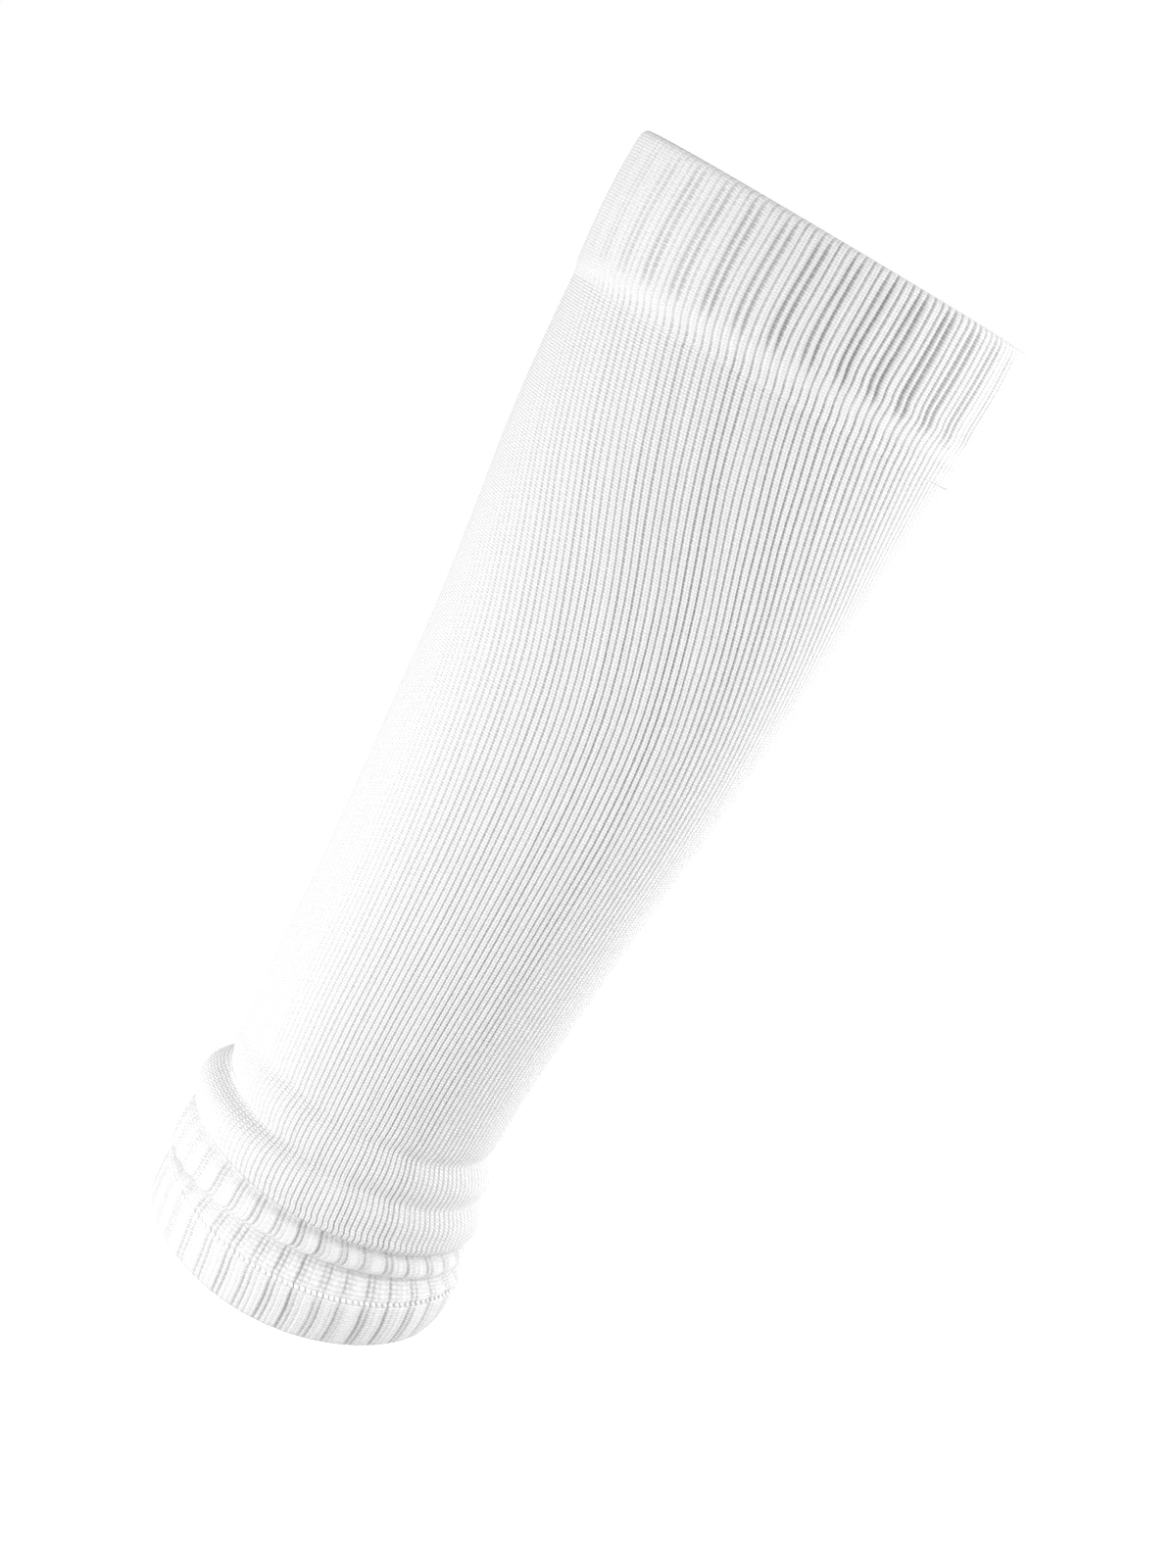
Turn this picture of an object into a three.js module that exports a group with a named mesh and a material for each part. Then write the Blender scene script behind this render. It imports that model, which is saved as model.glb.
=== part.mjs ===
// Knitted leg sleeve in the form it has when worn: a jersey tube that tapers from calf to ankle,
// between a turned rib cuff at the knee end and a rib cuff that is pushed down into folds at the ankle.
//
// Millimetres. +Z runs up the leg, and the front of the sleeve faces -Y. The origin lies on the leg's
// axis at half the height of the knee cuff. A drop is measured down from the knee cuff's rim, and an
// angle round the leg from the front, positive towards +X.

import * as THREE from "three";
import { mergeVertices } from "three/addons/utils/BufferGeometryUtils.js";

// Driving sizes
const KNEE_CUFF_HEIGHT = 35.4;
const JERSEY_WALL = 1.5;
const SEAM_GAP = 0.3;
const RIB_REPEATS = 36;
const RIB_GROOVE_DEPTH = 0.8;

// How finely the faceted solids follow the round leg
const FACETS_PER_RIB = 3;
const TUBE_FACETS = 54;
const CALF_ROW_SPACING = 26;
const GATHER_ROW_SPACING = 2.4;

// Looks of the white yarn
const KNIT_COLOUR = "#f3f3f1";
const RIB_ROUGHNESS = 0.9;
const JERSEY_ROUGHNESS = 0.85;

// The leg tube's outer face: half its width across the front, and how far its middle sways towards +X
const LEG_SECTIONS = [
  { drop: KNEE_CUFF_HEIGHT + SEAM_GAP, halfWidth: 55.8, sway: 0 },
  { drop: 60, halfWidth: 53.7, sway: -0.6 },
  { drop: 80, halfWidth: 52.2, sway: -0.4 },
  { drop: 105, halfWidth: 49.7, sway: 0.2 },
  { drop: 130, halfWidth: 47.2, sway: 0.5 },
  { drop: 155, halfWidth: 45.0, sway: 0.2 },
  { drop: 181, halfWidth: 42.5, sway: -0.3 },
  { drop: 207, halfWidth: 40.5, sway: -0.7 },
  { drop: 233, halfWidth: 39.1, sway: -1.3 },
  { drop: 250, halfWidth: 38.2, sway: -1.0 },
  { drop: 262, halfWidth: 38.0, sway: -0.9 },
  { drop: 278, halfWidth: 38.0, sway: 0 },
];

// How the knitted rounds lie on the leg tube: how far a round dips below its drop at the front, and how
// far it climbs towards +X
const LEG_ROUNDS = [
  { drop: KNEE_CUFF_HEIGHT + SEAM_GAP, dip: -1.2, climb: 0 },
  { drop: 60, dip: 0, climb: 0 },
  { drop: 235, dip: 0, climb: 0 },
  { drop: 250, dip: 1, climb: 0 },
  { drop: 262, dip: 2.4, climb: -0.4 },
  { drop: 278, dip: 3.7, climb: -1 },
];

// How deep the leg is from front to back as a share of its width, and how far the calf bows back
const LEG_DEPTHS = [
  { drop: 0, share: 0.96, bow: 0 },
  { drop: 80, share: 0.98, bow: 2 },
  { drop: 155, share: 0.96, bow: 1.5 },
  { drop: 250, share: 0.95, bow: 0 },
  { drop: 312, share: 0.94, bow: 0 },
];

// The two soft rolls that the jersey is pushed down into at the ankle. A roll starts at a crease, whose drop
// changes round the leg, and stands out by its full rise once it is a height below the crease.
const UPPER_ROLL = [
  { angle: -180, crease: 257, rise: 0.8, height: 8 },
  { angle: -90, crease: 256, rise: 0, height: 8 },
  { angle: -37, crease: 254.5, rise: 0.8, height: 7 },
  { angle: -8, crease: 256, rise: 1.4, height: 7 },
  { angle: 30, crease: 257.5, rise: 2, height: 8 },
  { angle: 68, crease: 256.5, rise: 2.9, height: 8 },
  { angle: 90, crease: 256, rise: 3.4, height: 9 },
  { angle: 180, crease: 257, rise: 0.8, height: 8 },
];
const LOWER_ROLL = [
  { angle: -180, crease: 264, rise: 3.5, height: 8 },
  { angle: -90, crease: 264, rise: 5, height: 8 },
  { angle: -60, crease: 266, rise: 4.6, height: 6 },
  { angle: -33, crease: 268, rise: 3.6, height: 6 },
  { angle: -10, crease: 268.5, rise: 3, height: 7 },
  { angle: 30, crease: 269.5, rise: 2.4, height: 6 },
  { angle: 78, crease: 268, rise: 2.4, height: 6 },
  { angle: 180, crease: 264, rise: 3.5, height: 8 },
];
const GATHER_START = 247;
const GATHER_END = 275.8;
const GATHER_END_INSIDE = 272;

// The lip that the lowest roll turns into, from its outer face round to its inner one
const LIP_ROWS = [
  { drop: 277.2, radius: 42.7, sway: 0.4, dip: 3.7, climb: -1 },
  { drop: 278.8, radius: 42.0, sway: 0.4, dip: 3.7, climb: -1 },
  { drop: 277.9, radius: 41.1, sway: 0.4, dip: 3.7, climb: -1 },
];

// Knee cuff, from its lower edge up the outside, over the rim and down the inside. A row's radius is half
// its width, rib is its share of the full groove depth, and sway, dip and climb are as on the leg tube.
const KNEE_CUFF_ROWS = [
  { drop: KNEE_CUFF_HEIGHT, radius: 56.0, dip: -1.2, rib: 0.2 },
  { drop: 33.8, radius: 56.6, dip: -1.2, rib: 0.6 },
  { drop: 30.5, radius: 57.2, dip: -1.1, rib: 0.7 },
  { drop: 27.5, radius: 56.9, dip: -1, rib: 1 },
  { drop: 15, radius: 57.4, climb: -0.8, rib: 1 },
  { drop: 4, radius: 57.1, dip: 0.3, climb: -1.4, rib: 1 },
  { drop: 0.9, radius: 56.5, dip: 0.4, climb: -1.6, rib: 0.7 },
  { drop: 0, radius: 55.5, dip: 0.4, climb: -1.6, rib: 0.2 },
  { drop: 0.9, radius: 54.5, dip: 0.4, climb: -1.6 },
  { drop: 15, radius: 54.9, climb: -0.8 },
  { drop: 31, radius: 54.5, dip: -1.1 },
  { drop: KNEE_CUFF_HEIGHT, radius: 54.2, dip: -1.2 },
];

// Ankle cuff, from the hem up the outside to the part that is tucked under the lip, and down the inside
const ANKLE_CUFF_ROWS = [
  { drop: 307.8, radius: 41.2, sway: 2.4, dip: 5.3, climb: 1.5, rib: 0.3 },
  { drop: 306.8, radius: 42.4, sway: 2.5, dip: 5.3, climb: 1.5, rib: 0.8 },
  { drop: 301, radius: 43.4, sway: 2.9, dip: 5.5, climb: 1.8, rib: 1 },
  { drop: 295.2, radius: 43.4, sway: 2.9, dip: 5.8, climb: 2.2, rib: 0.8 },
  { drop: 293.7, radius: 42.6, sway: 2.9, dip: 5.8, climb: 2.2, rib: 0.3 },
  { drop: 292.3, radius: 43.0, sway: 2.9, dip: 5.4, climb: 2.2, rib: 0.8 },
  { drop: 291.4, radius: 42.2, sway: 2.8, dip: 3.4, climb: 2.5, rib: 1 },
  { drop: 290.3, radius: 40.6, sway: 2.4, dip: 1.4, climb: 2.8, rib: 0.5 },
  { drop: 288.7, radius: 40.4, sway: 1.6, dip: 1, climb: 2.8, rib: 0.3 },
  { drop: 289.8, radius: 42.0, sway: 0.8, dip: 1, climb: 2.8, rib: 0.6 },
  { drop: 287, radius: 42.9, sway: 0.7, dip: 1.8, climb: 1.8, rib: 1 },
  { drop: 282.6, radius: 42.6, sway: 0.6, dip: 3.2, rib: 1 },
  { drop: 279.8, radius: 41.1, sway: 0.4, dip: 3.7, climb: -1, rib: 0.6 },
  { drop: 276.7, radius: 40.4, sway: 0.4, dip: 3.7, climb: -1, rib: 0.4 },
  { drop: 276.7, radius: 38.5, sway: 0.4, dip: 3.7, climb: -1 },
  { drop: 284, radius: 38.8, sway: 0.8, dip: 2.6, climb: 1 },
  { drop: 291, radius: 38.6, sway: 2, dip: 2.6, climb: 2.4 },
  { drop: 295.2, radius: 40.2, sway: 2.8, dip: 5.8, climb: 2.2 },
  { drop: 306.8, radius: 40.0, sway: 2.5, dip: 5.3, climb: 1.5 },
];

// A column of a table at any place along another column, on a smooth curve through the table's rows
function columnAt(table, column, at, along = "drop") {
  const last = table.length - 1;
  const found = table.findIndex((row, index) => index < last && at <= table[index + 1][along]);
  const lower = found < 0 ? last - 1 : found;
  const slopeAt = (index) => {
    const before = table[Math.max(index - 1, 0)];
    const after = table[Math.min(index + 1, last)];
    return (after[column] - before[column]) / (after[along] - before[along]);
  };
  const from = table[lower];
  const to = table[lower + 1];
  const span = to[along] - from[along];
  const t = THREE.MathUtils.clamp((at - from[along]) / span, 0, 1);
  const toWeight = t * t * (3 - 2 * t);
  const bend = slopeAt(lower) * t * (1 - t) ** 2 - slopeAt(lower + 1) * t * t * (1 - t);
  return from[column] * (1 - toWeight) + to[column] * toWeight + bend * span;
}

// How far the rolls at the ankle stand out of the plain tube
function rollSwell(drop, angle) {
  const degrees = THREE.MathUtils.euclideanModulo(THREE.MathUtils.radToDeg(angle) + 180, 360) - 180;
  let swell = 0;
  for (const roll of [UPPER_ROLL, LOWER_ROLL]) {
    const crease = columnAt(roll, "crease", degrees, "angle");
    const height = columnAt(roll, "height", degrees, "angle");
    const below = THREE.MathUtils.clamp((drop - crease) / height, 0, 1);
    swell += columnAt(roll, "rise", degrees, "angle") * (1 - (1 - below) ** 2);
  }
  return swell;
}

// A round of grooves between the ribs, as deep as a row's share of rib asks
function grooveDepth(row, angle) {
  return (row.rib ?? 0) * RIB_GROOVE_DEPTH * Math.max(0, Math.cos(RIB_REPEATS * angle));
}

// One closed knitted wall: its profile is turned round the leg, and each of its points then takes its
// place on the oval, swaying and bowing section that the leg has at that height.
function knittedWall(rows, facets, reliefAt) {
  const closed = [...rows, rows[0]];
  const profile = closed.map((row) => new THREE.Vector2(row.radius, -row.drop));
  const wall = new THREE.LatheGeometry(profile, facets);
  const points = wall.getAttribute("position");
  for (let index = 0; index < points.count; index += 1) {
    const row = closed[index % closed.length];
    const angle = (Math.floor(index / closed.length) / facets) * 2 * Math.PI;
    const dip = (row.dip ?? 0) * Math.max(0, Math.cos(angle)) ** 2;
    const drop = row.drop - (row.climb ?? 0) * Math.sin(angle) + dip;
    const radius = row.radius + reliefAt(row, angle, drop);
    const x = radius * Math.sin(angle) + (row.sway ?? 0);
    const depth = radius * columnAt(LEG_DEPTHS, "share", drop);
    const y = columnAt(LEG_DEPTHS, "bow", drop) - depth * Math.cos(angle);
    points.setXYZ(index, x, y, KNEE_CUFF_HEIGHT / 2 - drop);
  }
  wall.deleteAttribute("normal");
  wall.deleteAttribute("uv");
  const merged = mergeVertices(wall);
  merged.computeVertexNormals();
  return merged;
}

// The drops at which the leg tube has a row of facets: far apart on the calf, close in the gathers
function tubeDrops() {
  const top = LEG_SECTIONS[0].drop;
  const stretches = [
    { from: top, to: GATHER_START, spacing: CALF_ROW_SPACING },
    { from: GATHER_START, to: GATHER_END, spacing: GATHER_ROW_SPACING },
  ];
  const drops = stretches.flatMap(({ from, to, spacing }) => {
    const count = Math.round((to - from) / spacing);
    return Array.from({ length: count }, (_, step) => from + ((to - from) * step) / count);
  });
  return [...drops, GATHER_END];
}

// The jersey tube: up the outside from the lip, over its top edge and down the inside
function legTubeRows() {
  const faceRow = (inset) => (drop) => ({
    drop,
    radius: columnAt(LEG_SECTIONS, "halfWidth", drop) - inset,
    sway: columnAt(LEG_SECTIONS, "sway", drop),
    dip: columnAt(LEG_ROUNDS, "dip", drop),
    climb: columnAt(LEG_ROUNDS, "climb", drop),
    gathered: 1,
  });
  const drops = tubeDrops();
  const outside = drops.map(faceRow(0)).reverse();
  const inside = drops.filter((drop) => drop <= GATHER_END_INSIDE).map(faceRow(JERSEY_WALL));
  const [lipOutside, lipBottom, lipInside] = LIP_ROWS;
  return [lipBottom, lipOutside, ...outside, ...inside, lipInside];
}

// Matt white knit, with nothing metallic in it
function knitMaterial(roughness) {
  return new THREE.MeshStandardMaterial({ color: KNIT_COLOUR, roughness, metalness: 0 });
}

const sleeve = new THREE.Group();

const kneeCuff = new THREE.Mesh(
  knittedWall(KNEE_CUFF_ROWS, RIB_REPEATS * FACETS_PER_RIB, (row, angle) => -grooveDepth(row, angle)),
  knitMaterial(RIB_ROUGHNESS),
);
kneeCuff.name = "knee_cuff";
sleeve.add(kneeCuff);

const legTube = new THREE.Mesh(
  knittedWall(legTubeRows(), TUBE_FACETS, (row, angle, drop) => (row.gathered ?? 0) * rollSwell(drop, angle)),
  knitMaterial(JERSEY_ROUGHNESS),
);
legTube.name = "leg_tube";
sleeve.add(legTube);

const ankleCuff = new THREE.Mesh(
  knittedWall(ANKLE_CUFF_ROWS, RIB_REPEATS * FACETS_PER_RIB, (row, angle) => -grooveDepth(row, angle)),
  knitMaterial(RIB_ROUGHNESS),
);
ankleCuff.name = "ankle_cuff";
sleeve.add(ankleCuff);

export default sleeve;
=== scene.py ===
import math
import random

import bmesh
import bpy
import numpy
from mathutils import Matrix, Vector


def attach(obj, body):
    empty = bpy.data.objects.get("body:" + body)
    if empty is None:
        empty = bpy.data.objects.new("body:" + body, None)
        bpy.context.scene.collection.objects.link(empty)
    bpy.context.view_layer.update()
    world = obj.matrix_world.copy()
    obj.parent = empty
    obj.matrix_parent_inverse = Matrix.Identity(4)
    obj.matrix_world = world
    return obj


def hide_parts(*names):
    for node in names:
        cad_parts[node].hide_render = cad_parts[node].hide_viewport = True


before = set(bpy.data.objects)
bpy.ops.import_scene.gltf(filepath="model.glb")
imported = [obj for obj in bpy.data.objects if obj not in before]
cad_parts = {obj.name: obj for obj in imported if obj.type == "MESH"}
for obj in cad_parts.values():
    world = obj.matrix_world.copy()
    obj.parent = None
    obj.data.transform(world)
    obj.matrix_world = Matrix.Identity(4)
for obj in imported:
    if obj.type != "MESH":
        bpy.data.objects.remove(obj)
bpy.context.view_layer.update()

# The view: the sleeve hangs upright in the frame, and the camera is rolled so that it leans in the
# picture, its wide end up on the right. The picture is 1200 by 1600, so the tall side sets the view's angle.
CAMERA_PLACE = (0.0, -0.720, -0.0021)
CAMERA_DOWN = math.radians(10.5)
CAMERA_TO_RIGHT = math.radians(0.89)
CAMERA_ROLL = math.radians(29.0)
CAMERA_TALL_ANGLE = math.radians(31.57)

camera_data = bpy.data.cameras.new("camera")
camera_data.sensor_fit = "VERTICAL"
camera_data.angle_y = CAMERA_TALL_ANGLE
camera = bpy.data.objects.new("camera", camera_data)
aim = Matrix.Rotation(-CAMERA_TO_RIGHT, 4, "Z") @ Matrix.Rotation(math.pi / 2 - CAMERA_DOWN, 4, "X")
camera.matrix_world = Matrix.Translation(CAMERA_PLACE) @ aim @ Matrix.Rotation(CAMERA_ROLL, 4, "Z")
bpy.context.collection.objects.link(camera)
bpy.context.scene.camera = camera

# Knee cuff: the wide end of the sleeve, a rib-knitted welt of white yarn, turned over at the rim and
# knitted on into the tube. In each repeat a lone wale stands between two deep gaps, beside three close
# wales. Drops run down from the rim, angles run round the sleeve from the front towards +X.
KNEE_CUFF_HEIGHT = 0.0354
WALES = 144
COLUMNS_PER_WALE = 8
COLUMNS = WALES * COLUMNS_PER_WALE
FIRST_WALE = math.radians(-4.5)
CROWDED_SIDE = math.radians(6.0)
COURSE_HEIGHT = 0.0008
YARN_WHITE = (0.73, 0.73, 0.73, 1.0)
# The grey that painted shade mixes into the yarn's white, in the gaps and between the stitches' legs. The
# linking loops' fibres also vary towards it at random.
GAP_SHADE_AND_FIBRE_GREY = (0.33, 0.33, 0.335, 1.0)
# The even painted shade of a round whose gaps have closed where the knit is slack
SLACK_PAINTED_SHADE = 0.2


def table(columns, *rows):
    """A short table as one array for each named column."""
    return dict(zip(columns.split(), numpy.array(rows).T))


# The sleeve's depth from front to back as a share of its width, and how far its calf bows back
LEG_DEPTHS = table(
    "drop share bow",
    (0.000, 0.96, 0.0),
    (0.080, 0.98, 0.0020),
    (0.155, 0.96, 0.0015),
    (0.250, 0.95, 0.0),
    (0.312, 0.94, 0.0),
)

# How far the wales have turned round the sleeve by a drop, in degrees, and how much closer they lie at
# the front than at the sides
WALE_LEAN = table(
    "drop turn crowding",
    (0.000, 0.0, 0.045),
    (0.024, 0.0, 0.045),
    (0.036, 2.0, 0.045),
    (0.056, 8.2, 0.045),
    (0.076, 15.2, 0.045),
    (0.1015, 25.1, 0.045),
    (0.127, 33.4, 0.045),
    (0.154, 38.6, 0.045),
    (0.180, 41.3, 0.050),
    (0.234, 43.4, 0.060),
    (0.280, 44.4, 0.075),
    (0.2885, 44.4, 0.075),
    (0.2905, 40.0, 0.075),
    (0.2950, 40.2, 0.075),
    (0.3000, 41.2, 0.075),
    (0.3120, 43.0, 0.075),
)

# The gaps of one rib repeat: how deep each is, how far it reaches to either side in wales, how much shade
# is painted in it, and how much in the parting between the two strands of the wale that follows it. A gap's
# side slopes over its edge share of the reach, and each gap is open by its own share, from the least up to
# 1.
RIB_GAPS = table(
    "depth reach tone parting",
    (0.0011, 0.34, 0.95, 0.20),
    (0.0011, 0.34, 0.95, 0.45),
    (0.0006, 0.24, 0.75, 0.45),
    (0.0006, 0.24, 0.75, 0.45),
)
RIB_LEAST_OPEN = 0.85
GAP_EDGE_SHARE = 0.5
PARTING_DEPTH = 0.0002
PARTING_REACH = 0.15
WALE_WOBBLE = 0.07
WALE_WOBBLE_LENGTHS = (0.025, 0.07)

# From the lower edge up the outside, over the rim and down the inside. A row's sway is how far its middle
# lies towards +X, dip how far it sags at the front, climb how far it rises towards +X, rib its share of the
# gaps' depth, slack how far the gaps have closed, which trades their painted shade for an even painted
# shade, and rounds how many rounds of mesh reach to the next row.
KNEE_CUFF_ROWS = table(
    "drop radius sway dip climb rib slack rounds",
    (0.0408, 0.05490, 0.0, -0.0012, 0.0, 0.0, 0.0, 2),
    (0.0396, 0.05520, 0.0, -0.0012, 0.0, 0.0, 0.0, 3),
    (0.0380, 0.05540, 0.0, -0.0012, 0.0, 0.0, 0.0, 3),
    (0.0364, 0.05570, 0.0, -0.0012, 0.0, 0.0, 0.4, 3),
    (0.0348, 0.05612, 0.0, -0.0012, 0.0, 0.0, 1.0, 4),
    (0.0328, 0.05640, 0.0, -0.0012, 0.0, 0.1, 1.0, 4),
    (0.0308, 0.05656, 0.0, -0.0011, 0.0, 0.5, 0.3, 5),
    (0.0280, 0.05680, 0.0, -0.0010, 0.0, 1.0, 0.0, 8),
    (0.0150, 0.0574, 0.0, 0.0, -0.0008, 1.0, 0.0, 7),
    (0.0045, 0.0571, 0.0, 0.0003, -0.0014, 1.0, 0.0, 3),
    (0.0020, 0.0569, 0.0, 0.0004, -0.0015, 0.6, 0.1, 3),
    (0.0006, 0.0564, 0.0, 0.0004, -0.0016, 0.2, 0.4, 3),
    (0.0000, 0.0555, 0.0, 0.0004, -0.0016, 0.1, 0.6, 3),
    (0.0009, 0.0545, 0.0, 0.0004, -0.0016, 0.2, 0.4, 4),
    (0.0150, 0.0549, 0.0, 0.0, -0.0008, 0.3, 0.4, 4),
    (0.0310, 0.0545, 0.0, -0.0011, 0.0, 0.3, 0.4, 2),
    (0.0354, 0.0542, 0.0, -0.0012, 0.0, 0.3, 0.4, 0),
)

wale_number = numpy.arange(COLUMNS) / COLUMNS_PER_WALE
column_turn = FIRST_WALE + wale_number * 2 * math.pi / WALES


def smooth_column(rows, column, at, along="drop"):
    """A column of a table at any place along it, on a smooth curve through the table's rows."""
    knots = rows[along]
    values = rows[column]
    slopes = numpy.empty(len(knots))
    slopes[1:-1] = (values[2:] - values[:-2]) / (knots[2:] - knots[:-2])
    slopes[0] = (values[1] - values[0]) / (knots[1] - knots[0])
    slopes[-1] = (values[-1] - values[-2]) / (knots[-1] - knots[-2])
    lower = numpy.clip(numpy.searchsorted(knots, at) - 1, 0, len(knots) - 2)
    span = knots[lower + 1] - knots[lower]
    way = numpy.clip((at - knots[lower]) / span, 0.0, 1.0)
    weight = way * way * (3 - 2 * way)
    bend = slopes[lower] * way * (1 - way) ** 2 - slopes[lower + 1] * way * way * (1 - way)
    return values[lower] * (1 - weight) + values[lower + 1] * weight + bend * span


def rounds_of(profile):
    """The profile's rows with the rounds between them, as a list of rows by column name."""
    steps = numpy.hypot(numpy.diff(profile["drop"]), numpy.diff(profile["radius"]))
    path = numpy.concatenate([[0.0], numpy.cumsum(steps)])
    places = []
    for start, end, rounds in zip(path[:-1], path[1:], profile["rounds"][:-1]):
        places.extend(numpy.linspace(start, end, int(rounds), endpoint=False))
    places.append(path[-1])
    measured = dict(profile, path=path)
    return [{name: smooth_column(measured, name, at, "path") for name in profile} for at in places]


KNITTING_SEED = 7
chance = random.Random(KNITTING_SEED)


def gap_profile(gaps, least_open):
    """How deep the gaps between wales and the partings on the wales are at each column, and how much shade
    is painted in them.
    """
    opening = numpy.array([chance.uniform(least_open, 1.0) for wale in range(WALES)])
    gap_number = numpy.round(wale_number).astype(int)
    nearest = gap_number % len(gaps["depth"])
    away = numpy.abs(wale_number - gap_number)
    reach = gaps["reach"][nearest]
    inside_edge = numpy.clip((reach - away) / (reach * GAP_EDGE_SHARE), 0.0, 1.0)
    open_share = inside_edge * opening[gap_number % WALES]
    wale = numpy.floor(wale_number).astype(int) % len(gaps["depth"])
    from_middle = numpy.abs(wale_number % 1.0 - 0.5)
    parting = numpy.clip(1 - from_middle / PARTING_REACH, 0.0, 1.0)
    depth = gaps["depth"][nearest] * open_share + PARTING_DEPTH * parting
    tone = gaps["tone"][nearest] * open_share + gaps["parting"][wale] * parting
    return depth, tone


wobble_starts = numpy.array([chance.uniform(0, 2 * math.pi) for wale in range(WALES)])
wobble_lengths = numpy.array([chance.uniform(*WALE_WOBBLE_LENGTHS) for wale in range(WALES)])


def wale_wobble(drop):
    """How far each column strays from its even place, as the wales of worn knitting do, in radians."""
    strays = WALE_WOBBLE * numpy.sin(2 * math.pi * drop / wobble_lengths + wobble_starts)
    return numpy.interp(wale_number, numpy.arange(WALES) + 0.5, strays, period=WALES) * 2 * math.pi / WALES


def wale_angles(drop, waver=0.0):
    """Where the columns lie round the sleeve at a drop, measured from the front."""
    turn = numpy.radians(smooth_column(WALE_LEAN, "turn", drop) + waver)
    turned = column_turn + turn + wale_wobble(drop)
    crowding = smooth_column(WALE_LEAN, "crowding", drop)
    return turned - crowding * numpy.sin(2 * (turned - CROWDED_SIDE))


def round_drops(row, angle):
    """The drop along one round, which sags at the front and climbs towards +X."""
    sag = row["dip"] * numpy.maximum(0.0, numpy.cos(angle)) ** 2
    return row["drop"] - row["climb"] * numpy.sin(angle) + sag


def ring_of_cloth(row, angle, relief):
    """The points of one round on the sleeve's oval at that height, pushed out by the relief."""
    drop = round_drops(row, angle)
    radius = row["radius"] + relief
    depth = radius * smooth_column(LEG_DEPTHS, "share", drop)
    x = radius * numpy.sin(angle) + row["sway"]
    y = smooth_column(LEG_DEPTHS, "bow", drop) - depth * numpy.cos(angle)
    return numpy.column_stack([x, y, KNEE_CUFF_HEIGHT / 2 - drop])


def unrolled(places, turn):
    """Places on a closed loop as they lie side by side on one face, also where the loop starts again."""
    furthest = max(places)
    return [place + turn if furthest - place > turn / 2 else place for place in places]


def knit_piece(name, rings, painted_shades, material):
    """Knits a closed wall: a cast-on round, an extruded round for each further ring, and the last joined to
    the first. The knit map counts wales across and courses down, and gap holds how much shade is painted at
    each point."""
    knitting = bmesh.new()
    column = knitting.verts.layers.int.new("column")
    course = knitting.verts.layers.float.new("course")
    gap = knitting.verts.layers.float.new("gap")
    knit = knitting.loops.layers.uv.new("knit")
    verts = bmesh.ops.create_circle(knitting, segments=COLUMNS, radius=1.0)["verts"]
    for number, vert in enumerate(verts):
        vert[column] = number
    edges = list(knitting.edges)
    cast_on = list(edges)
    laid = 0.0
    for number, (ring, tone) in enumerate(zip(rings, painted_shades)):
        if number:
            grown = bmesh.ops.extrude_edge_only(knitting, edges=edges)["geom"]
            verts = [part for part in grown if isinstance(part, bmesh.types.BMVert)]
            edges = [part for part in grown if isinstance(part, bmesh.types.BMEdge)]
            laid += float(numpy.linalg.norm(ring - rings[number - 1], axis=1).mean()) / COURSE_HEIGHT
        for vert in verts:
            vert.co = ring[vert[column]]
            vert[course] = laid
            vert[gap] = tone[vert[column]]
    bmesh.ops.bridge_loops(knitting, edges=cast_on + edges)
    bmesh.ops.recalc_face_normals(knitting, faces=knitting.faces)
    for face in knitting.faces:
        face.smooth = True
        across = unrolled([loop.vert[column] for loop in face.loops], COLUMNS)
        down = unrolled([loop.vert[course] for loop in face.loops], laid + 1.0)
        for loop, u, v in zip(face.loops, across, down):
            loop[knit].uv = (u / COLUMNS_PER_WALE, v)
    mesh = bpy.data.meshes.new(name)
    knitting.to_mesh(mesh)
    knitting.free()
    mesh.materials.append(material)
    piece = bpy.data.objects.new(name, mesh)
    bpy.context.collection.objects.link(piece)
    return piece


def wire(tree, target, source):
    """Sets a node's input socket to a value or links another node's output to it."""
    if isinstance(source, bpy.types.NodeSocket):
        tree.links.new(source, target)
    else:
        target.default_value = source


def calculate(tree, operation, *terms):
    """A math node's result for these terms."""
    node = tree.nodes.new("ShaderNodeMath")
    node.operation = operation
    for socket, term in zip(node.inputs, terms):
        wire(tree, socket, term)
    return node.outputs[0]


def ripple(tree, phase):
    """A wave from 0 to 1 and back for each whole step of the phase."""
    turned = calculate(tree, "COSINE", calculate(tree, "MULTIPLY", phase, 2 * math.pi))
    return calculate(tree, "MULTIPLY_ADD", turned, 0.5, 0.5)


# Stitches on a knitted face: each course puts a V of two legs on a wale and a bar of yarn across the gap,
# every second bar the stronger, in turn from gap to gap, and no two stitches are quite alike. Their shade is
# painted into the yarn's colour, between the legs and in the gaps, where the bars of yarn cover it in part.
BAR_SHARE = 0.85
STRONG_BAR_SHARE = 0.3
STRONG_BARS_PER_COURSE = 0.5
BAR_HEIGHT = 0.5
LEG_SHADE = 0.25
GAP_UNEVENNESS = 1.1
LEG_UNEVENNESS = 0.2
UNEVEN_PER_WALE = 2.2
UNEVEN_PER_COURSE = 0.7
UNEVEN_DETAIL = 2.0


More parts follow.
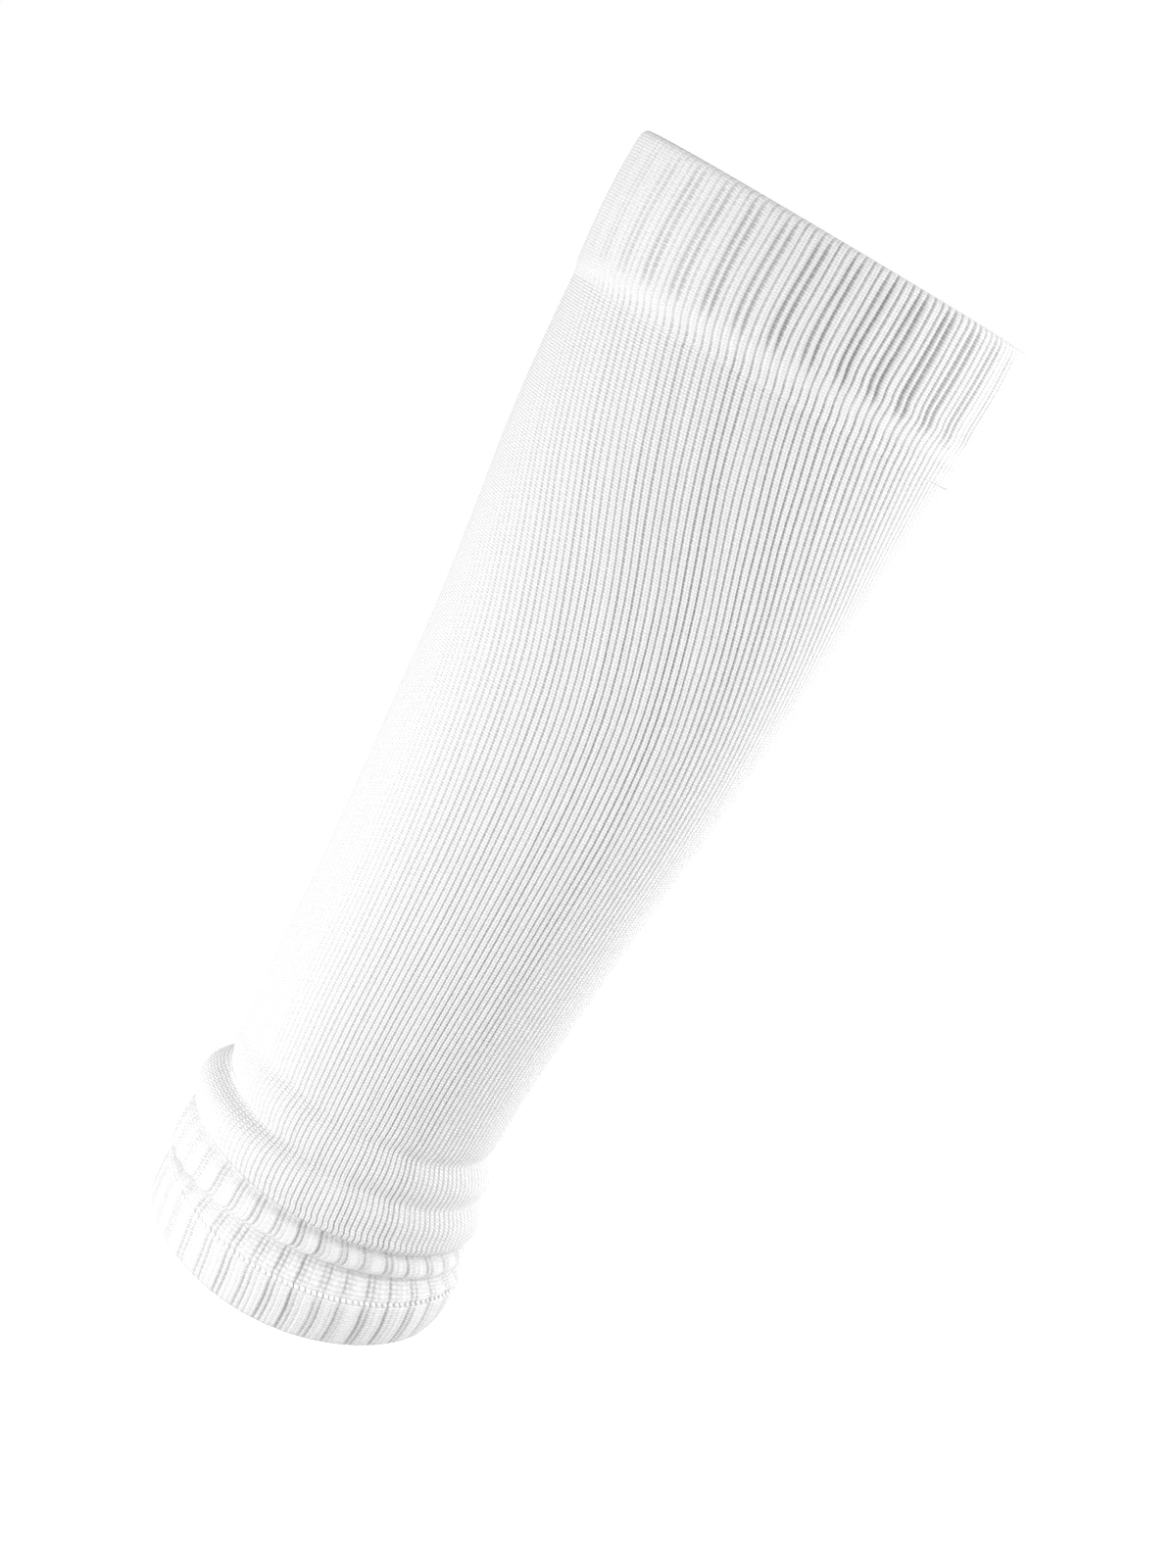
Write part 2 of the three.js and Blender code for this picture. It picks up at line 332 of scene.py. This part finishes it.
def stitch_group():
    """The stitches' relief and painted shade, from counts of wales and courses and the gap's painted shade.
    """
    tree = bpy.data.node_groups.new("knit_stitches", "ShaderNodeTree")
    for name in ("Wale", "Course", "Gap"):
        tree.interface.new_socket(name, in_out="INPUT", socket_type="NodeSocketFloat")
    for name in ("Height", "Shade"):
        tree.interface.new_socket(name, in_out="OUTPUT", socket_type="NodeSocketFloat")
    given = tree.nodes.new("NodeGroupInput").outputs
    result = tree.nodes.new("NodeGroupOutput").inputs
    across = calculate(tree, "FRACT", given["Wale"])
    from_middle = calculate(tree, "ABSOLUTE", calculate(tree, "SUBTRACT", across, 0.5))
    legs = ripple(tree, calculate(tree, "ADD", given["Course"], from_middle))
    every_bar = ripple(tree, given["Course"])
    staggered = calculate(tree, "ADD", given["Course"], calculate(tree, "ROUND", given["Wale"]))
    second_bar = ripple(tree, calculate(tree, "MULTIPLY", staggered, STRONG_BARS_PER_COURSE))
    strong_bars = calculate(tree, "MULTIPLY", second_bar, STRONG_BAR_SHARE)
    bars = calculate(tree, "MULTIPLY_ADD", every_bar, 1 - STRONG_BAR_SHARE, strong_bars)
    on_wale = calculate(tree, "SUBTRACT", 1.0, given["Gap"])
    leg_height = calculate(tree, "MULTIPLY", legs, on_wale)
    bar_height = calculate(tree, "MULTIPLY", bars, given["Gap"])
    wire(tree, result["Height"], calculate(tree, "MULTIPLY_ADD", bar_height, BAR_HEIGHT, leg_height))
    place = tree.nodes.new("ShaderNodeCombineXYZ")
    wire(tree, place.inputs["X"], calculate(tree, "MULTIPLY", given["Wale"], UNEVEN_PER_WALE))
    wire(tree, place.inputs["Y"], calculate(tree, "MULTIPLY", given["Course"], UNEVEN_PER_COURSE))
    noise = tree.nodes.new("ShaderNodeTexNoise")
    noise.inputs["Scale"].default_value = 1.0
    noise.inputs["Detail"].default_value = UNEVEN_DETAIL
    wire(tree, noise.inputs["Vector"], place.outputs[0])
    chances = tree.nodes.new("ShaderNodeSeparateColor")
    wire(tree, chances.inputs[0], noise.outputs["Color"])
    gap_chance = calculate(tree, "SUBTRACT", chances.outputs["Red"], 0.5)
    leg_chance = calculate(tree, "SUBTRACT", chances.outputs["Green"], 0.5)
    between_bars = calculate(tree, "MULTIPLY_ADD", bars, -BAR_SHARE, 1.0)
    open_gap = calculate(tree, "MULTIPLY", given["Gap"], between_bars)
    uneven_gap = calculate(tree, "MULTIPLY_ADD", gap_chance, GAP_UNEVENNESS, 1.0)
    gap_shade = calculate(tree, "MULTIPLY", open_gap, uneven_gap)
    leg_shade = calculate(tree, "MULTIPLY", calculate(tree, "SUBTRACT", 1.0, legs), LEG_SHADE)
    uneven_leg = calculate(tree, "MULTIPLY_ADD", leg_chance, LEG_UNEVENNESS, leg_shade)
    wire(tree, result["Shade"], calculate(tree, "MULTIPLY_ADD", uneven_leg, on_wale, gap_shade))
    return tree


knit_stitches = stitch_group()

# The yarn's soft shine, and how strongly the stitches stand out
YARN_SPECULAR = 0.2
YARN_SHEEN = 0.05
YARN_SHEEN_ROUGHNESS = 0.5
STITCH_STRENGTH = 0.6


def knit_material(name, roughness, stitch_relief):
    """Matt white yarn, knitted: deeper in the gaps, with shade painted into its colour there and between the
    stitches' legs, and the stitches as fine relief.
    """
    material = bpy.data.materials.new(name)
    material.use_nodes = True
    tree = material.node_tree
    yarn = tree.nodes["Principled BSDF"]
    yarn.inputs["Roughness"].default_value = roughness
    yarn.inputs["Specular IOR Level"].default_value = YARN_SPECULAR
    yarn.inputs["Sheen Weight"].default_value = YARN_SHEEN
    yarn.inputs["Sheen Roughness"].default_value = YARN_SHEEN_ROUGHNESS
    knit_map = tree.nodes.new("ShaderNodeUVMap")
    knit_map.uv_map = "knit"
    counts = tree.nodes.new("ShaderNodeSeparateXYZ")
    tree.links.new(knit_map.outputs["UV"], counts.inputs[0])
    # The gap attribute holds how much shade is painted at each point
    gap = tree.nodes.new("ShaderNodeAttribute")
    gap.attribute_name = "gap"
    stitches = tree.nodes.new("ShaderNodeGroup")
    stitches.node_tree = knit_stitches
    tree.links.new(counts.outputs["X"], stitches.inputs["Wale"])
    tree.links.new(counts.outputs["Y"], stitches.inputs["Course"])
    tree.links.new(gap.outputs["Fac"], stitches.inputs["Gap"])
    # Painted shade: the stitches' shade mixes the yarn's white towards the grey
    colour = tree.nodes.new("ShaderNodeMix")
    colour.data_type = "RGBA"
    colour.inputs["A"].default_value = YARN_WHITE
    colour.inputs["B"].default_value = GAP_SHADE_AND_FIBRE_GREY
    tree.links.new(stitches.outputs["Shade"], colour.inputs["Factor"])
    tree.links.new(colour.outputs["Result"], yarn.inputs["Base Color"])
    relief = tree.nodes.new("ShaderNodeBump")
    relief.inputs["Strength"].default_value = STITCH_STRENGTH
    relief.inputs["Distance"].default_value = stitch_relief
    tree.links.new(stitches.outputs["Height"], relief.inputs["Height"])
    tree.links.new(relief.outputs["Normal"], yarn.inputs["Normal"])
    return material


# The rib is a little rougher than the jersey and its stitches lie flatter. The plain jersey that the cuffs
# are knitted on to has a gap of one kind between all its wales.
RIB_ROUGHNESS = 0.9
RIB_STITCH_RELIEF = 0.00012
JERSEY_GAPS = table("depth reach tone parting", (0.0006, 0.20, 1.1, 0.4))
JERSEY_LEAST_OPEN = 0.8
KNEE_WAVER = 0.7
KNEE_WAVER_START = 0.026
KNEE_WAVER_LENGTH = 0.011

rib_knit = knit_material("rib_knit", RIB_ROUGHNESS, RIB_STITCH_RELIEF)
rib_depth, rib_painted_shade = gap_profile(RIB_GAPS, RIB_LEAST_OPEN)
jersey_depth, jersey_painted_shade = gap_profile(JERSEY_GAPS, JERSEY_LEAST_OPEN)


def knee_waver(drop):
    """How many degrees the wales waver where the cuff meets the tube, most on the side towards +X."""
    place = numpy.clip((drop - KNEE_WAVER_START) / KNEE_WAVER_LENGTH, 0.0, 1.0)
    right_share = numpy.clip(numpy.sin(column_turn), 0.0, 1.0)
    return KNEE_WAVER * right_share * numpy.sin(2 * math.pi * place)


def knee_ring(row):
    """One round of the knee cuff, between plain jersey and full rib as its row says."""
    angle = wale_angles(row["drop"], knee_waver(row["drop"]))
    return ring_of_cloth(row, angle, -row["rib"] * rib_depth - (1 - row["rib"]) * jersey_depth)


def slackened(row, tone):
    """How much shade is painted on a round: in its gaps, and evenly over it as far as the knit is slack and
    its gaps have closed.
    """
    return row["slack"] * SLACK_PAINTED_SHADE + (1 - row["slack"]) * tone


knee_rows = rounds_of(KNEE_CUFF_ROWS)
knee_rings = [knee_ring(row) for row in knee_rows]
knee_painted_shades = [slackened(row, row["rib"] * rib_painted_shade + (1 - row["rib"]) * jersey_painted_shade) for row in knee_rows]
knee_cuff = knit_piece("knee_cuff_knit", knee_rings, knee_painted_shades, rib_knit)
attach(knee_cuff, "root")
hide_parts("knee_cuff")

# Leg tube: plain jersey of the same white yarn, knitted round in one piece with the cuff and worn stretched.
# Its wales lean round the sleeve, and its lower end is pushed down into soft rolls that end in a lip.
JERSEY_WALL = 0.0015
JERSEY_ROUGHNESS = 0.85
JERSEY_STITCH_RELIEF = 0.00025
TUBE_TOP = 0.0345
TUBE_EDGE = 0.001
GATHER_START = 0.247
GATHER_END = 0.2758
GATHER_END_INSIDE = 0.272
CALF_ROUNDS = 29
GATHER_ROUNDS = 29
INSIDE_ROUND_SHARE = 0.25
INSIDE_RELIEF_SHARE = 0.3

# The tube's outer face from top to bottom, its columns as on the knee cuff
LEG_SECTIONS = table(
    "drop radius sway dip climb slack",
    (0.0345, 0.05555, 0.0, -0.0012, 0.0, 0.0),
    (0.060, 0.0537, -0.0006, 0.0, 0.0, 0.0),
    (0.080, 0.0522, -0.0004, 0.0, 0.0, 0.0),
    (0.105, 0.0497, 0.0002, 0.0, 0.0, 0.0),
    (0.130, 0.0472, 0.0005, 0.0, 0.0, 0.1),
    (0.155, 0.0450, 0.0002, 0.0, 0.0, 0.2),
    (0.181, 0.0425, -0.0003, 0.0, 0.0, 0.3),
    (0.207, 0.0405, -0.0007, 0.0, 0.0, 0.4),
    (0.233, 0.0391, -0.0013, 0.0, 0.0, 0.55),
    (0.250, 0.0382, -0.0010, 0.0010, 0.0, 0.6),
    (0.262, 0.0380, -0.0009, 0.0024, -0.0004, 0.6),
    (0.278, 0.0380, 0.0000, 0.0037, -0.0010, 0.6),
)

# The rolls that the tube is pushed down into. A roll starts at a crease, whose drop changes round the tube
# and which is drawn in by its groove, and stands out by its rise once it is a height below the crease.
UPPER_ROLL = table(
    "angle crease rise height groove",
    (-180, 0.2570, 0.0008, 0.008, 0.0003),
    (-90, 0.2560, 0.0000, 0.008, 0.0000),
    (-37, 0.2545, 0.0008, 0.007, 0.0008),
    (-8, 0.2560, 0.0014, 0.007, 0.0009),
    (30, 0.2575, 0.0020, 0.008, 0.0010),
    (68, 0.2565, 0.0029, 0.008, 0.0010),
    (90, 0.2560, 0.0034, 0.009, 0.0008),
    (180, 0.2570, 0.0008, 0.008, 0.0003),
)
LOWER_ROLL = table(
    "angle crease rise height groove",
    (-180, 0.2640, 0.0035, 0.008, 0.0008),
    (-90, 0.2640, 0.0050, 0.008, 0.0014),
    (-60, 0.2660, 0.0046, 0.007, 0.0016),
    (-33, 0.2680, 0.0036, 0.007, 0.0014),
    (-10, 0.2685, 0.0030, 0.007, 0.0010),
    (30, 0.2695, 0.0024, 0.006, 0.0008),
    (78, 0.2680, 0.0024, 0.006, 0.0006),
    (180, 0.2640, 0.0035, 0.008, 0.0008),
)
GROOVE_REACH = 0.0028

# The lip that the lowest roll turns into, from its outer face round to its inner one
LIP_ROWS = table(
    "drop radius sway dip climb slack rounds",
    (0.2772, 0.0427, 0.0004, 0.0037, -0.001, 0.6, 3),
    (0.2788, 0.0420, 0.0004, 0.0037, -0.001, 0.6, 3),
    (0.2779, 0.0411, 0.0004, 0.0037, -0.001, 0.6, 0),
)


def roll_swell(drop, angle):
    """How far the rolls at the ankle stand out of the plain tube."""
    degrees_round = numpy.degrees(angle + math.pi) % 360 - 180
    swell = 0.0
    for roll in (UPPER_ROLL, LOWER_ROLL):
        crease = smooth_column(roll, "crease", degrees_round, "angle")
        height = smooth_column(roll, "height", degrees_round, "angle")
        below = numpy.clip((drop - crease) / height, 0.0, 1.0)
        swell = swell + smooth_column(roll, "rise", degrees_round, "angle") * (1 - (1 - below) ** 2)
        drawn_in = numpy.exp(-((drop - crease) / GROOVE_REACH) ** 2)
        swell = swell - smooth_column(roll, "groove", degrees_round, "angle") * drawn_in
    return swell


def tube_ring(row, inset, relief_share):
    """One round of the tube's outer or inner face."""
    angle = wale_angles(row["drop"])
    swell = roll_swell(round_drops(row, angle), angle)
    return ring_of_cloth(row, angle, swell - inset - relief_share * jersey_depth)


jersey_knit = knit_material("jersey_knit", JERSEY_ROUGHNESS, JERSEY_STITCH_RELIEF)

# A short round along the top edge keeps the edge's shading from spreading down the tube
calf_drops = numpy.linspace(TUBE_TOP + TUBE_EDGE, GATHER_START, CALF_ROUNDS, endpoint=False)
gather_drops = numpy.linspace(GATHER_START, GATHER_END, GATHER_ROUNDS)
face_drops = numpy.concatenate([[TUBE_TOP], calf_drops, gather_drops])
inside_calf_rounds = int(CALF_ROUNDS * INSIDE_ROUND_SHARE)
inside_calf = numpy.linspace(TUBE_TOP, GATHER_START, inside_calf_rounds, endpoint=False)
inside_gather_rounds = int(GATHER_ROUNDS * INSIDE_ROUND_SHARE)
inside_gather = numpy.linspace(GATHER_START, GATHER_END_INSIDE, inside_gather_rounds)
inside_drops = numpy.concatenate([inside_calf, inside_gather])


def tube_row(drop):
    """The tube's section at a drop."""
    return {name: smooth_column(LEG_SECTIONS, name, drop) for name in LEG_SECTIONS} | {"drop": drop}


inside_rows = [tube_row(drop) for drop in inside_drops[::-1]]
face_rows = [tube_row(drop) for drop in face_drops]
lip_rows = rounds_of(LIP_ROWS)
tube_rings = [tube_ring(row, inset=JERSEY_WALL, relief_share=INSIDE_RELIEF_SHARE) for row in inside_rows]
tube_rings += [tube_ring(row, inset=0.0, relief_share=1.0) for row in face_rows]
tube_rings += [ring_of_cloth(row, wale_angles(row["drop"]), -jersey_depth) for row in lip_rows]
tube_painted_shades = [slackened(row, jersey_painted_shade) for row in inside_rows + face_rows + lip_rows]
leg_tube = knit_piece("leg_tube_knit", tube_rings, tube_painted_shades, jersey_knit)
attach(leg_tube, "root")
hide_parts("leg_tube")

# Ankle cuff: the narrow end, rib-knitted of the same yarn as the knee cuff, tucked up under the tube's lip
# and pushed down so that it folds once on itself. Below the fold a row of stitches holds the turned hem.

# Here the rib is slack, so its close wales lie together as smooth bars. Shade is painted in the valleys
# beside the bars, more lightly over the bars, and evenly on rows with less rib.
ANKLE_RIB_GAPS = table(
    "depth reach tone parting",
    (0.0009, 0.38, 0.46, 0.30),
    (0.0007, 0.34, 0.40, 0.30),
    (0.0004, 0.30, 0.36, 0.30),
    (0.0004, 0.30, 0.36, 0.30),
)
ANKLE_LEAST_OPEN = 0.45
SLACK_BAR_ROUNDING = 0.00015
SLACK_BAR_PAINTED_SHADE = 0.3
ANKLE_PAINTED_SHADE = 0.5

# From the hem up the outside to the part that is tucked under the lip, and down the inside. A row's fold is
# how far it is drawn in on the side where the fold is deepest.
DEEPEST_FOLD_SIDE = math.radians(55.0)
ANKLE_CUFF_ROWS = table(
    "drop radius sway dip climb rib fold rounds",
    (0.3078, 0.0412, 0.0024, 0.0053, 0.0015, 0.3, 0.0, 3),
    (0.3068, 0.0424, 0.0025, 0.0053, 0.0015, 0.8, 0.0, 8),
    (0.3010, 0.0434, 0.0029, 0.0055, 0.0018, 1.0, 0.0, 8),
    (0.2952, 0.0434, 0.0029, 0.0058, 0.0022, 0.8, 0.0, 4),
    (0.2937, 0.0430, 0.0029, 0.0058, 0.0022, 0.3, 0.0003, 4),
    (0.2923, 0.0430, 0.0029, 0.0054, 0.0022, 0.8, 0.0002, 3),
    (0.2914, 0.0424, 0.0028, 0.0034, 0.0025, 1.0, 0.0010, 4),
    (0.2903, 0.0414, 0.0024, 0.0014, 0.0028, 0.5, 0.0021, 3),
    (0.2887, 0.0412, 0.0016, 0.0010, 0.0028, 0.3, 0.0021, 4),
    (0.2898, 0.0422, 0.0008, 0.0010, 0.0028, 0.6, 0.0003, 5),
    (0.2870, 0.0429, 0.0007, 0.0018, 0.0018, 1.0, -0.0003, 6),
    (0.2826, 0.0426, 0.0006, 0.0032, 0.0, 1.0, 0.0004, 5),
    (0.2798, 0.0411, 0.0004, 0.0037, -0.001, 0.6, 0.0010, 3),
    (0.2767, 0.0404, 0.0004, 0.0037, -0.001, 0.4, 0.0004, 1),
    (0.2767, 0.0385, 0.0004, 0.0037, -0.001, 0.3, 0.0004, 3),
    (0.2840, 0.0388, 0.0008, 0.0026, 0.001, 0.3, 0.0006, 3),
    (0.2910, 0.0386, 0.0020, 0.0026, 0.0024, 0.3, 0.0012, 2),
    (0.2952, 0.0402, 0.0028, 0.0058, 0.0022, 0.3, 0.0, 4),
    (0.3068, 0.0400, 0.0025, 0.0053, 0.0015, 0.3, 0.0, 0),
)

slack_rib_depth, slack_rib_painted_shade = gap_profile(ANKLE_RIB_GAPS, ANKLE_LEAST_OPEN)
# From 1 on the lone wale beside a bar to 0 at the bar's middle
beside_bar = 0.5 + 0.5 * numpy.cos(2 * math.pi * (wale_number - 0.5) / len(ANKLE_RIB_GAPS["depth"]))
slack_rib_depth = slack_rib_depth + SLACK_BAR_ROUNDING * beside_bar
# Painted shade: deepest in the valley beside each bar and lighter over the bar's middle
slack_rib_painted_shade = numpy.maximum(slack_rib_painted_shade, SLACK_BAR_PAINTED_SHADE + SLACK_BAR_PAINTED_SHADE * beside_bar)


def ankle_ring(row):
    """One round of the ankle cuff, drawn in where it is folded."""
    angle = wale_angles(row["drop"])
    fold_share = (0.5 + 0.5 * numpy.cos(angle - DEEPEST_FOLD_SIDE)) ** 2
    return ring_of_cloth(row, angle, -row["rib"] * slack_rib_depth - row["fold"] * fold_share)


ankle_rows = rounds_of(ANKLE_CUFF_ROWS)
ankle_rings = [ankle_ring(row) for row in ankle_rows]
# Painted shade: rows with less rib take the cuff's even painted shade
ankle_painted_shades = [ANKLE_PAINTED_SHADE + row["rib"] * (slack_rib_painted_shade - ANKLE_PAINTED_SHADE) for row in ankle_rows]
ankle_cuff = knit_piece("ankle_cuff_knit", ankle_rings, ankle_painted_shades, rib_knit)
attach(ankle_cuff, "root")
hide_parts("ankle_cuff")

# Linking stitches: the loops of white yarn that hold the ankle cuff's turned hem, one to a wale and all
# tilted the same way, worked round the cuff along the line above the hem
LINKING_ROW = {"drop": 0.2937, "radius": 0.0427, "sway": 0.0029, "dip": 0.0058, "climb": 0.0022}
LINKING_LENGTH = 0.0019
LINKING_WIDTH = 0.0012
LINKING_TILT = math.radians(35.0)
LINKING_FIBRES = 1500.0
LINKING_TONE = 0.3

linking_shape = bmesh.new()
linking_angles = wale_angles(LINKING_ROW["drop"])[COLUMNS_PER_WALE // 2::COLUMNS_PER_WALE]
for place, angle in zip(ring_of_cloth(LINKING_ROW, linking_angles, 0.0), linking_angles):
    turned = Matrix.Rotation(angle, 4, "Z") @ Matrix.Rotation(LINKING_TILT, 4, "Y")
    size = Matrix.Diagonal((LINKING_LENGTH / 2, LINKING_WIDTH / 2, LINKING_WIDTH / 2, 1.0))
    bmesh.ops.create_icosphere(linking_shape, subdivisions=2, radius=1.0,
                               matrix=Matrix.Translation(place) @ turned @ size)
for face in linking_shape.faces:
    face.smooth = True
linking_mesh = bpy.data.meshes.new("linking_stitches")
linking_shape.to_mesh(linking_mesh)
linking_shape.free()
linking_yarn = bpy.data.materials.new("linking_yarn")
linking_yarn.use_nodes = True
linking_tree = linking_yarn.node_tree
linking_shader = linking_tree.nodes["Principled BSDF"]
linking_shader.inputs["Roughness"].default_value = RIB_ROUGHNESS
linking_places = linking_tree.nodes.new("ShaderNodeTexCoord")
fibres = linking_tree.nodes.new("ShaderNodeTexNoise")
fibres.inputs["Scale"].default_value = LINKING_FIBRES
linking_tree.links.new(linking_places.outputs["Object"], fibres.inputs["Vector"])
linking_colour = linking_tree.nodes.new("ShaderNodeMix")
linking_colour.data_type = "RGBA"
linking_colour.inputs["A"].default_value = YARN_WHITE
linking_colour.inputs["B"].default_value = GAP_SHADE_AND_FIBRE_GREY
linking_tone = calculate(linking_tree, "MULTIPLY", fibres.outputs[0], LINKING_TONE)
linking_tree.links.new(linking_tone, linking_colour.inputs["Factor"])
linking_tree.links.new(linking_colour.outputs["Result"], linking_shader.inputs["Base Color"])
linking_mesh.materials.append(linking_yarn)
linking_stitches = bpy.data.objects.new("linking_stitches", linking_mesh)
bpy.context.collection.objects.link(linking_stitches)
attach(linking_stitches, "root")

# Floor: a plain white studio sweep well below the hem. It glows where the camera sees it, so that its far
# edge is lost against the surround, but lights the sleeve only as plain white paint would.
FLOOR_SIZE = 6.0
FLOOR_HEIGHT = -1.05
FLOOR_WHITE = (0.9, 0.9, 0.9, 1.0)
FLOOR_ROUGHNESS = 0.9

floor_shape = bmesh.new()
bmesh.ops.create_grid(floor_shape, x_segments=1, y_segments=1, size=FLOOR_SIZE / 2)
bmesh.ops.translate(floor_shape, verts=floor_shape.verts, vec=(0.0, 0.0, FLOOR_HEIGHT))
floor_mesh = bpy.data.meshes.new("floor")
floor_shape.to_mesh(floor_mesh)
floor_shape.free()
floor_paint = bpy.data.materials.new("floor_paint")
floor_paint.use_nodes = True
floor_tree = floor_paint.node_tree
floor_shader = floor_tree.nodes["Principled BSDF"]
floor_shader.inputs["Base Color"].default_value = FLOOR_WHITE
floor_shader.inputs["Roughness"].default_value = FLOOR_ROUGHNESS
floor_shader.inputs["Emission Color"].default_value = FLOOR_WHITE
floor_sight = floor_tree.nodes.new("ShaderNodeLightPath").outputs["Is Camera Ray"]
floor_tree.links.new(floor_sight, floor_shader.inputs["Emission Strength"])
floor_mesh.materials.append(floor_paint)
floor = bpy.data.objects.new("floor", floor_mesh)
bpy.context.collection.objects.link(floor)

# Studio light: a white surround that the camera sees brighter than the sleeve does, a softbox in front on
# the left, two on the right, one of them high, and one behind
SLEEVE_MIDDLE = Vector((0.0, 0.0, -0.14))
SURROUND_WHITE = (1.0, 1.0, 1.0, 1.0)
SURROUND_SEEN = 1.0
SURROUND_LIGHT = 0.60
SOFTBOX_SIZE = 0.4

surround = bpy.data.worlds.new("surround")
surround.use_nodes = True
surround_tree = surround.node_tree
surround_sight = surround_tree.nodes.new("ShaderNodeLightPath").outputs["Is Camera Ray"]
surround_step = SURROUND_SEEN - SURROUND_LIGHT
surround_strength = calculate(surround_tree, "MULTIPLY_ADD", surround_sight, surround_step, SURROUND_LIGHT)
surround_light = surround_tree.nodes["Background"]
surround_light.inputs["Color"].default_value = SURROUND_WHITE
surround_tree.links.new(surround_strength, surround_light.inputs["Strength"])
bpy.context.scene.world = surround


def softbox(name, place, power):
    """A soft area light aimed at the middle of the sleeve."""
    light = bpy.data.lights.new(name, "AREA")
    light.shape = "SQUARE"
    light.size = SOFTBOX_SIZE
    light.energy = power
    lamp = bpy.data.objects.new(name, light)
    lamp.location = place
    lamp.visible_camera = False
    lamp.rotation_mode = "QUATERNION"
    lamp.rotation_quaternion = (SLEEVE_MIDDLE - Vector(place)).to_track_quat("-Z", "Y")
    bpy.context.collection.objects.link(lamp)


softbox("front_left_softbox", place=(-0.38, -0.41, -0.29), power=3.75)
softbox("high_right_softbox", place=(0.53, -0.14, 0.30), power=3.1)
softbox("low_right_softbox", place=(0.54, -0.07, -0.16), power=2.1)
softbox("back_softbox", place=(0.0, 0.60, -0.10), power=3.0)

# The plain transform keeps the surround white and the yarn's greys as they are lit
bpy.context.scene.view_settings.view_transform = "Standard"
